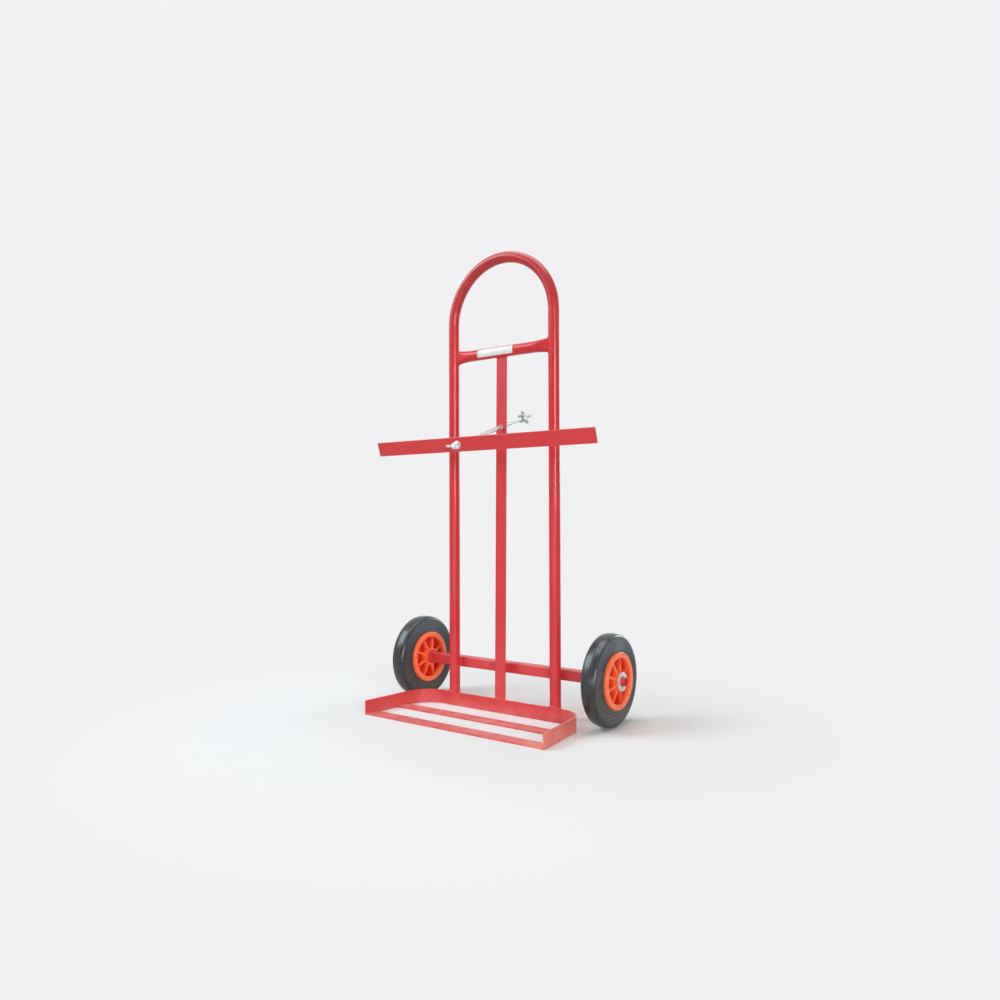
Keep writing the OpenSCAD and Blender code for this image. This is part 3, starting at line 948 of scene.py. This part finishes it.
@dataclass
class PaintedFrame:
    """Hoop, cross tube, strut, tray and axle beam, with the welds that join them and the label."""

    finishes: Finishes
    tube_r: float = 16.0 * MM
    cross_r: float = 16.0 * MM
    flat_t: float = 14.5 * MM
    edge: float = 0.9 * MM
    tray_splay: float = 5.5
    tubes: tuple[str, ...] = ("hoop_tube", "cross_tube", "axle_shaft")
    bars: tuple[str, ...] = ("centre_strut", "axle_beam", "beam_cap_left", "beam_cap_right")
    floor_bars: tuple[str, ...] = ("tray_front_bar", "tray_middle_bar")
    head_bead: float = 3.2 * MM
    foot_bead: float = 4.4 * MM
    strut_bead: float = 3.4 * MM
    cross_bead: float = 3.6 * MM
    upright_bead: float = 4.4 * MM
    seat_bead: float = 4.2 * MM
    tray_bead: float = 4.6 * MM
    head_half: float = 3.6 * MM
    groove_half: float = 11.5 * MM
    bead_rise: float = 5.0 * MM
    joint_points: int = 48
    label_left: float = -80.0 * MM
    label_right: float = 48.0 * MM
    label_low: float = -41.0
    label_high: float = 46.0
    label_corner: float = 5.0 * MM
    label_t: float = 0.3 * MM
    label_gap: float = 0.05 * MM
    label_rows: int = 40
    label_columns: int = 12

    def __post_init__(self) -> None:
        """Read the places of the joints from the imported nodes."""
        hoop_low, hoop_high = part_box("hoop_tube")
        cross_low, cross_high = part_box("cross_tube")
        self.upright_x = hoop_high.x - self.tube_r
        self.hoop_y = hoop_high.y - self.tube_r
        self.cross_z = (cross_low.z + cross_high.z) / 2.0
        _, self.rim_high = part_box("tray_rim")
        self.beam_low, self.beam_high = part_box("axle_beam")
        self.strut_low, self.strut_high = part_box("centre_strut")
        self.bead_foot = hoop_low.z + self.bead_rise

    def dress(self) -> None:
        """Paint the nodes and round the bars' edges."""
        for name in self.tubes:
            self.finishes.cover(name, self.finishes.tube_paint)
            smooth(name)
        self.finishes.cover("hoop_tube", self.finishes.hoop_paint)
        for name in self.bars:
            self.finishes.dress(name, Slot.RED_PAINT)
            soften(name, self.edge)
        for name in ("tray_rim", *self.floor_bars):
            self.finishes.cover(name, self.finishes.tray_paint)
            soften(name, self.edge)

    def _cross_end(self, side: Side) -> list[Vector]:
        """Line where the flattened end of the cross tube meets an upright.

        Args:
            side: Half of the trolley.

        Returns:
            Points round the joint.
        """
        radius = self.flat_t / 2.0
        rise = (2.0 * self.cross_r - self.flat_t) * math.pi / 4.0
        points = []
        for i in range(self.joint_points):
            turn = 2.0 * math.pi * (i + 0.5) / self.joint_points
            y = radius * math.cos(turn)
            z = radius * math.sin(turn) + math.copysign(rise, math.sin(turn))
            x = self.upright_x - math.sqrt(self.tube_r**2 - y * y)
            points.append(Vector((side.value * x, self.hoop_y + y, self.cross_z + z)))
        return points

    def _lay(self, joint: str, start: Place, end: Place, radius: float) -> None:
        """Lay a straight bead between two points."""
        WeldBead(f"weld_{joint}", [Vector(start), Vector(end)], radius).build(self.finishes.tube_paint)

    def _weld_strut(self) -> None:
        """Weld the strut's head under the cross tube and its foot behind the rim."""
        low_x, high_x = self.strut_low.x, self.strut_high.x
        head_z = self.cross_z - self.cross_r + 0.4 * MM
        for word, y in (("front", self.hoop_y - self.head_half), ("back", self.hoop_y + self.head_half)):
            self._lay(f"strut_head_{word}", (low_x, y, head_z), (high_x, y, head_z), self.head_bead)
        y, z = self.rim_high.y - 1.0 * MM, self.rim_high.z
        self._lay("strut_foot", (low_x + 2.0 * MM, y, z), (high_x - 2.0 * MM, y, z), self.foot_bead)
        y, z = self.rim_high.y + MM, self.rim_high.z + MM
        for side in Side:
            x = side.value * high_x
            self._lay(f"strut_side_{side.word}", (x, y, z), (x, y, self.bead_foot), self.strut_bead)

    def _weld_upright(self, side: Side) -> None:
        """Weld one upright to the cross tube, the rim and the beam.

        Args:
            side: Half of the trolley.
        """
        cross = WeldBead(f"weld_cross_{side.word}", self._cross_end(side), self.cross_bead, closed=True)
        cross.build(self.finishes.tube_paint)
        groove_shade = self.groove_half
        depth = self.tube_r - math.sqrt(self.tube_r**2 - groove_shade**2)
        rim_y, beam_y = self.rim_high.y + depth / 2.0, self.beam_low.y - depth / 2.0
        rim_z = self.rim_high.z
        beam_foot, beam_head = self.beam_low.z + 1.0 * MM, self.beam_high.z - 0.5 * MM
        for word, step in (("in", -1), ("out", 1)):
            x = side.value * (self.upright_x + step * groove_shade)
            rim = (x, rim_y, self.bead_foot), (x, rim_y, rim_z + 0.5 * MM)
            self._lay(f"rim_{side.word}_{word}", *rim, self.upright_bead)
            beam = (x, beam_y, beam_foot), (x, beam_y, beam_head)
            self._lay(f"beam_{side.word}_{word}", *beam, self.upright_bead)
        x = side.value * self.upright_x
        y = self.rim_high.y - 1.5 * MM
        self._lay(f"rim_top_{side.word}", (x - groove_shade, y, rim_z), (x + groove_shade, y, rim_z), self.seat_bead)

    def _weld_tray(self, side: Side) -> None:
        """Weld one end of the two floor bars inside the splayed rim.

        Args:
            side: Half of the trolley.
        """
        lean = math.tan(math.radians(self.tray_splay))
        for name in self.floor_bars:
            low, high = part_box(name)
            ends = []
            for y in (low.y + 3.0 * MM, high.y - 3.0 * MM):
                x = high.x - lean * (y - low.y) - 0.5 * MM
                ends.append((side.value * x, y, high.z + 0.5 * MM))
            self._lay(f"{name}_{side.word}", *ends, self.tray_bead)

    def weld(self) -> None:
        """Lay every bead."""
        self._weld_strut()
        for side in Side:
            self._weld_upright(side)
            self._weld_tray(side)

    def stick_label(self) -> None:
        """Wrap the blank label round the front and top of the cross tube."""
        rows, columns = self.label_rows, self.label_columns
        radius = self.cross_r + self.label_gap
        height = math.radians(self.label_high - self.label_low) * radius
        points = []
        for row in range(rows + 1):
            share = 0.5 - 0.5 * math.cos(math.pi * row / rows)
            turn = math.radians(self.label_low + (self.label_high - self.label_low) * share)
            gap = max(0.0, self.label_corner - height * min(share, 1.0 - share))
            inset = self.label_corner - math.sqrt(max(0.0, self.label_corner**2 - gap**2))
            length = self.label_right - self.label_left - 2.0 * inset
            y = self.hoop_y - radius * math.cos(turn)
            z = self.cross_z + radius * math.sin(turn)
            for column in range(columns + 1):
                points.append(Vector((self.label_left + inset + length * column / columns, y, z)))
        width = columns + 1
        faces = [
            (row * width + i, row * width + i + 1, (row + 1) * width + i + 1, (row + 1) * width + i)
            for row in range(rows)
            for i in range(columns)
        ]
        sheet = make_piece("blank_label", points, faces, Body.FRAME, self.finishes.label)
        thick = sheet.modifiers.new("film", "SOLIDIFY")
        thick.thickness = self.label_t
        thick.offset = 1.0
        middle = sheet.data.polygons[len(faces) // 2]
        outward = middle.center - Vector((0.0, self.hoop_y, self.cross_z))
        if middle.normal.dot(outward) < 0.0:
            sheet.data.flip_normals()


@dataclass
class Wheel:
    """One wheel: moulded tyre, ribbed plastic centre, nylon bush, washers and split pin."""

    finishes: Finishes
    side: Side
    washer_edge: float = 0.5 * MM
    slots: tuple[tuple[str, Slot], ...] = (
        ("tyre", Slot.TYRE_RUBBER),
        ("wheel_centre", Slot.ORANGE_PLASTIC),
        ("hub_bush", Slot.NYLON),
        ("split_pin", Slot.ZINC),
        ("inner_washer", Slot.RED_PAINT),
        ("outer_washer", Slot.ZINC),
    )

    def dress(self) -> None:
        """Dress the wheel's nodes and what holds it on the axle."""
        for node, slot in self.slots:
            self.finishes.dress(f"{node}_{self.side.word}", slot)
        for node in ("inner_washer", "outer_washer"):
            soften(f"{node}_{self.side.word}", self.washer_edge)


@dataclass
class Clamp:
    """Sliding rod with rolled threads, its loose clamp bar, nuts and washers."""

    finishes: Finishes
    rod_r: float = 6.0 * MM
    rod_len: float = 400.0 * MM
    droop: float = 18.0
    pitch: float = 1.75 * MM
    thread_depth: float = 1.05 * MM
    flank_slope: float = 1.25
    run_out: float = 3.5 * MM
    front_thread: float = 48.0 * MM
    rear_thread: float = 152.0 * MM
    chamfer: float = 1.0 * MM
    rings_per_pitch: int = 8
    sides: int = 24
    bar_edge: float = 0.9 * MM
    nut_edge: float = 0.5 * MM
    bright: tuple[str, ...] = ("front_washer", "front_wing_nut")
    # The rear parts take the darker zinc, which paints their shade.
    dull: tuple[str, ...] = ("lock_nut", "rear_washer", "rear_wing_nut")

    def dress(self) -> None:
        """Dress the clamp's nodes."""
        self.finishes.dress("clamp_rod", Slot.ZINC)
        self.finishes.dress("clamp_bar", Slot.RED_PAINT)
        soften("clamp_bar", self.bar_edge)
        for name in self.bright:
            self.finishes.dress(name, Slot.ZINC)
        for name in self.dull:
            self.finishes.cover(name, self.finishes.dull_zinc)
        for name in self.bright + self.dull:
            soften(name, self.nut_edge)

    def _radius(self, along: float, turn: float) -> float:
        """Radius of the rod at one point of its surface.

        Args:
            along: Distance from the rear end.
            turn: Place round the rod, in turns.

        Returns:
            The radius, less in the thread and at the chamfered ends.
        """
        ahead = self.rod_len - along
        inside = max(self.rear_thread - along, self.front_thread - ahead)
        full = min(1.0, max(0.0, inside / self.run_out))
        flank = abs(2.0 * ((along / self.pitch - turn) % 1.0) - 1.0)
        root = max(0.0, 1.0 - self.flank_slope * flank)
        threaded = self.rod_r - self.thread_depth * full * root
        return min(threaded, self.rod_r - self.chamfer + min(along, ahead))

    def cut_threads(self) -> None:
        """Make the rod with its threads in place of the plain one."""
        low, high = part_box("clamp_rod")
        tilt = math.radians(self.droop)
        ahead = Vector((0.0, -math.cos(tilt), -math.sin(tilt)))
        across = Vector((1.0, 0.0, 0.0))
        over = across.cross(ahead)
        rear = (low + high) / 2.0 - ahead * (self.rod_len / 2.0)
        step = self.pitch / self.rings_per_pitch
        places = [step * i for i in range(int(self.rear_thread / step) + 1)]
        places += [self.rod_len - step * i for i in range(int(self.front_thread / step), -1, -1)]
        points = []
        for along in places:
            for k in range(self.sides):
                turn = k / self.sides
                angle = 2.0 * math.pi * turn
                spoke = math.cos(angle) * across + math.sin(angle) * over
                points.append(rear + ahead * along + self._radius(along, turn) * spoke)
        faces = ring_faces(len(places), self.sides, closed=False)
        zinc = self.finishes.by_slot[Slot.ZINC]
        rod = make_piece("threaded_rod", points, faces, Body.CLAMP_ROD, zinc)
        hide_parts("clamp_rod")


@dataclass(frozen=True)
class PhotoView:
    """Camera at the photograph's viewing angle."""

    focal_px: float = 804.99
    frame_px: float = 1000.0
    yaw: float = 35.779
    pitch: float = 1.0101
    roll: float = -0.1803
    place: Place = (1.36690, -1.79026, 0.57283)
    sensor: float = 36.0
    nearest: float = 0.01

    def build(self) -> None:
        """Add the camera and make it the scene's."""
        yaw, pitch, roll = (math.radians(angle) for angle in (self.yaw, self.pitch, self.roll))
        reach = math.cos(pitch)
        ahead = Vector((-math.sin(yaw) * reach, math.cos(yaw) * reach, math.sin(pitch)))
        level = Vector((math.cos(yaw), math.sin(yaw), 0.0))
        upright = level.cross(ahead)
        right = math.cos(roll) * level + math.sin(roll) * upright
        top = math.cos(roll) * upright - math.sin(roll) * level
        data = bpy.data.cameras.new("photo_view")
        data.sensor_fit = "HORIZONTAL"
        data.sensor_width = self.sensor
        data.lens = self.focal_px * self.sensor / self.frame_px
        data.clip_start = self.nearest
        camera = bpy.data.objects.new("photo_view", data)
        turned = Matrix((right, top, -ahead)).transposed().to_4x4()
        camera.matrix_world = Matrix.Translation(self.place) @ turned
        bpy.context.scene.collection.objects.link(camera)
        bpy.context.scene.camera = camera


@dataclass(frozen=True)
class Lamp:
    """Soft rectangular studio lamp, aimed at a point and rolled about its beam by degrees."""

    name: str
    place: Place
    aim: Place
    size: Pair
    watts: float
    colour: Colour = (1.0, 1.0, 1.0)
    roll: float = 0.0

    def build(self) -> None:
        """Add the lamp."""
        data = bpy.data.lights.new(self.name, "AREA")
        data.shape = "RECTANGLE"
        data.size, data.size_y = self.size
        data.energy = self.watts
        data.color = self.colour
        lamp = bpy.data.objects.new(self.name, data)
        lamp.location = self.place
        lamp.visible_camera = False
        turned = (Vector(self.aim) - Vector(self.place)).to_track_quat("-Z", "Y")
        rolled = turned @ Quaternion((0.0, 0.0, 1.0), math.radians(self.roll))
        lamp.rotation_euler = rolled.to_euler()
        bpy.context.scene.collection.objects.link(lamp)


@dataclass(frozen=True)
class Studio:
    """Pale floor that fades into a pale background, soft world light and lamps."""

    backdrop: Colour = (0.879, 0.879, 0.895)
    floor: Colour = (0.81, 0.795, 0.785)
    ambient: float = 0.15
    floor_half: float = 1.5
    floor_drop: float = 0.2 * MM
    fade_start: float = 0.50
    fade_end: float = 1.10
    lamps: tuple[Lamp, ...] = (
        Lamp("right", (5.5, -4.5, 1.6), (0.0, 0.1, 0.3), (3.0, 1.9), 282.0),
        Lamp("front", (0.5, -2.4, 0.3), (0.0, 0.1, 0.1), (1.6, 0.5), 9.0),
        Lamp("left", (-2.92, -2.32, 3.50), (0.0, 0.05, 0.2), (2.3, 3.0), 142.0, (0.76, 0.92, 1.0), 38.0),
        Lamp("back", (0.6, 4.0, 1.6), (0.0, 0.1, 0.5), (2.5, 1.6), 40.0),
        Lamp("top", (0.0, 0.2, 6.0), (0.0, 0.1, 0.0), (4.4, 4.4), 192.0, (0.98, 0.98, 0.98)),
    )

    @staticmethod
    def _seen(graph: Graph) -> Socket:
        """Mask of rays that show the background: camera, glossy and transmission.

        Args:
            graph: Tree that takes the mask.

        Returns:
            The mask.
        """
        path = graph.add("ShaderNodeLightPath")
        mirror = graph.math("MAXIMUM", path.outputs["Is Glossy Ray"], path.outputs["Is Transmission Ray"])
        return graph.math("MAXIMUM", path.outputs["Is Camera Ray"], mirror)

    @staticmethod
    def _mix(graph: Graph, mask: Socket, first: Node, second: Node, output: Node) -> None:
        """Show one shader or another.

        Args:
            graph: Tree that holds the shaders.
            mask: Share of the second shader.
            first: Shader at mask 0.
            second: Shader at mask 1.
            output: Output node that takes the mixture.
        """
        mix = graph.add("ShaderNodeMixShader")
        for socket, value in zip(mix.inputs, (mask, first.outputs[0], second.outputs[0])):
            graph.feed(socket, value)
        graph.feed(output.inputs["Surface"], mix.outputs[0])

    def _build_world(self) -> None:
        """Light the scene evenly and show the backdrop colour to the camera."""
        world = bpy.data.worlds.new("studio")
        world.use_nodes = True
        bpy.context.scene.world = world
        graph = Graph(world.node_tree)
        world.node_tree.nodes.clear()
        light = graph.add("ShaderNodeBackground")
        light.inputs["Color"].default_value = (1.0, 1.0, 1.0, 1.0)
        light.inputs["Strength"].default_value = self.ambient
        shown = graph.add("ShaderNodeBackground")
        shown.inputs["Color"].default_value = (*self.backdrop, 1.0)
        self._mix(graph, self._seen(graph), light, shown, graph.add("ShaderNodeOutputWorld"))

    def _build_floor(self) -> None:
        """Lay the floor: it takes the shadow near the trolley and fades into the backdrop."""
        half = self.floor_half
        mesh = bpy.data.meshes.new("floor")
        signs = ((-1, -1), (1, -1), (1, 1), (-1, 1))
        mesh.from_pydata([(x * half, y * half, -self.floor_drop) for x, y in signs], [], [(0, 1, 2, 3)])
        floor = bpy.data.objects.new("floor", mesh)
        bpy.context.scene.collection.objects.link(floor)
        pale = Surface("pale_floor", Base_Color=(*self.floor, 1.0), Roughness=1.0, Specular_IOR_Level=0.0)
        length = pale.add("ShaderNodeVectorMath", operation="LENGTH")
        pale.feed(length.inputs[0], pale.place())
        far = pale.span(length.outputs["Value"], self.fade_start, self.fade_end)
        glow = pale.add("ShaderNodeEmission")
        glow.inputs["Color"].default_value = (*self.backdrop, 1.0)
        output = next(node for node in pale.tree.nodes if node.type == "OUTPUT_MATERIAL")
        self._mix(pale, pale.product(far, self._seen(pale)), pale.shader, glow, output)
        mesh.materials.append(pale.material)

    def build(self) -> None:
        """Add the world, the floor and the lamps."""
        bpy.context.scene.view_settings.view_transform = "Standard"
        self._build_world()
        self._build_floor()
        for lamp in self.lamps:
            lamp.build()


def corners(box: tuple[Vector, Vector]) -> list[list[float]]:
    """Plain lists of a box's two corners."""
    return [list(box[0]), list(box[1])]


def main() -> None:
    """Load the frame, dress it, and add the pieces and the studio."""
    logging.basicConfig(level=logging.INFO, format="%(name)s: %(message)s")
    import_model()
    Effects().build()
    finishes = Finishes()
    painted = PaintedFrame(finishes)
    painted.dress()
    painted.weld()
    painted.stick_label()
    for side in Side:
        Wheel(finishes, side).dress()
    clamp = Clamp(finishes)
    clamp.dress()
    clamp.cut_threads()
    PhotoView().build()
    Studio().build()


if __name__ == "__main__":
    main()
